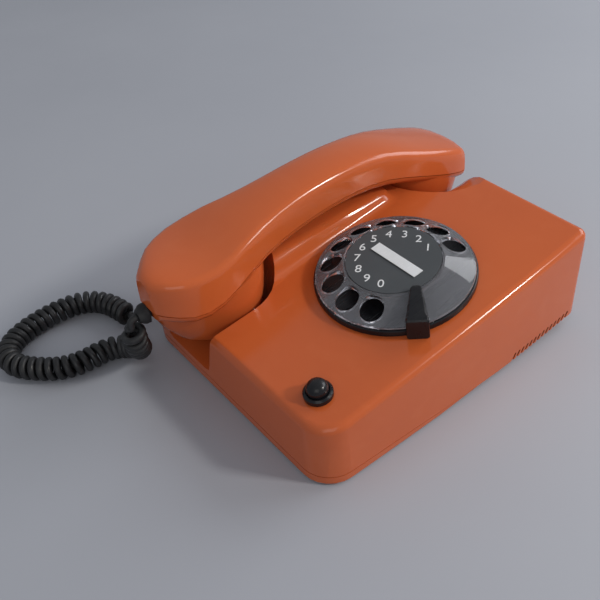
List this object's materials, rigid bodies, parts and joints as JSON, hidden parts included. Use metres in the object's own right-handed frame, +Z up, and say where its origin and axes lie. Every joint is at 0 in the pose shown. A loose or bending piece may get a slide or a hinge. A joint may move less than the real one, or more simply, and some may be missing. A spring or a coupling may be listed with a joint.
{
  "type": "rotary desk telephone",
  "caption": "Low wedge-shaped desk telephone with a rotary dial, a push button and a handset lying lengthways in a side cradle.",
  "frame": {"origin": "on the table under the middle of the telephone, the free cord not counted", "axes": "+Z up, -Y towards the user (front of the telephone), +X to the user's right"},
  "size_m": [0.2034, 0.2725, 0.0885],
  "materials": {
    "orange_plastic": "glossy burnt-orange moulding",
    "black_plastic": "satin black moulding",
    "smoked_clear_plastic": "polished, smoked and clear",
    "grey_plastic": "dark grey, printed numbers",
    "paper_card": "blank white card",
    "black_rubber": "matt black",
    "plated_steel": "zinc plated",
    "brass": "plain",
    "brown_board": "laminated board",
    "wound_copper": "varnished winding",
    "cream_plastic": "plain moulding"
  },
  "bodies": {
    "housing": {"base_plate": "orange_plastic", "button_collar": "black_plastic", "button_switch": "cream_plastic", "capacitor": "plated_steel", "case_screw_1": "plated_steel", "case_screw_2": "plated_steel", "circuit_board": "brown_board", "cord_gland": "black_rubber", "cord_tail_case": "black_rubber", "cord_tail_handset": "black_rubber", "dial_frame_plate": "plated_steel", "dial_housing": "black_plastic", "finger_stop": "black_plastic", "gong_1": "brass", "gong_2": "brass", "governor_cup": "plated_steel", "handset_cord_coil": "black_rubber", "hook_bracket": "plated_steel", "hook_contacts": "cream_plastic", "hook_pin": "plated_steel", "induction_coil": "wound_copper", "line_cord_inlet": "black_rubber", "pulse_contacts": "cream_plastic", "return_spring_can": "plated_steel", "ringer_coil": "wound_copper", "ringer_frame": "plated_steel", "rubber_foot_1": "black_rubber", "rubber_foot_2": "black_rubber", "rubber_foot_3": "black_rubber", "rubber_foot_4": "black_rubber", "terminal_block": "cream_plastic", "upper_case": "orange_plastic"},
    "dial_wheel": {"finger_wheel": "smoked_clear_plastic", "number_disc": "grey_plastic", "label_card": "paper_card", "dial_spindle": "plated_steel", "main_gear": "brass", "pulse_cam": "cream_plastic"},
    "governor": {"governor_shaft": "brass"},
    "ground_button": {"ground_button": "black_plastic"},
    "hook_plunger": {"hook_plunger": "cream_plastic"},
    "hook_lever": {"hook_lever": "plated_steel"},
    "clapper": {"clapper": "plated_steel"},
    "handset": {"handset_upper_shell": "orange_plastic", "handset_lower_shell": "orange_plastic", "handset_screw_1": "plated_steel", "handset_screw_2": "plated_steel", "transmitter_capsule": "plated_steel", "receiver_capsule": "plated_steel", "handset_boot": "black_rubber"}
  },
  "joints": [
    {"name": "dial_spin", "type": "hinge", "parent": "housing", "child": "dial_wheel", "pos_m": [0.0246, 0.0064, 0.04872], "axis": [0, -0.1283, 0.9917], "range_deg": [-328, 0], "stiffness_Nm_per_rad": 0.004, "springref_deg": 28.65},
    {"name": "governor_spin", "type": "hinge", "parent": "housing", "child": "governor", "pos_m": [-0.00112, -0.00288, 0.04752], "axis": [0, -0.1283, 0.9917], "range_deg": [0, 1970]},
    {"name": "button_press", "type": "slide", "parent": "housing", "child": "ground_button", "axis": [0, -0.1283, 0.9917], "range_m": [-0.003, 0], "stiffness_N_per_m": 250, "springref_m": 0.002},
    {"name": "handset_lift", "type": "slide", "parent": "housing", "child": "handset", "axis": [0, 0, 1], "range_m": [0, 0.12]},
    {"name": "hook_rise", "type": "slide", "parent": "housing", "child": "hook_plunger", "axis": [0, 0, 1], "range_m": [0, 0.004]},
    {"name": "lever_turn", "type": "hinge", "parent": "housing", "child": "hook_lever", "pos_m": [-0.036, 0.055, 0.02], "axis": [1, 0, 0], "range_deg": [0, 8.9]},
    {"name": "clapper_swing", "type": "hinge", "parent": "housing", "child": "clapper", "pos_m": [0.03, 0.04, 0.0194], "axis": [0, 0, 1], "range_deg": [-4.5, 4.5], "stiffness_Nm_per_rad": 0.002}
  ],
  "couplings": [
    {"joint": "governor_spin", "follows": "dial_spin", "ratio": -6},
    {"joint": "hook_rise", "follows": "handset_lift", "ratio": 0.033333},
    {"joint": "lever_turn", "follows": "handset_lift", "rad_per_m": 1.2945}
  ]
}
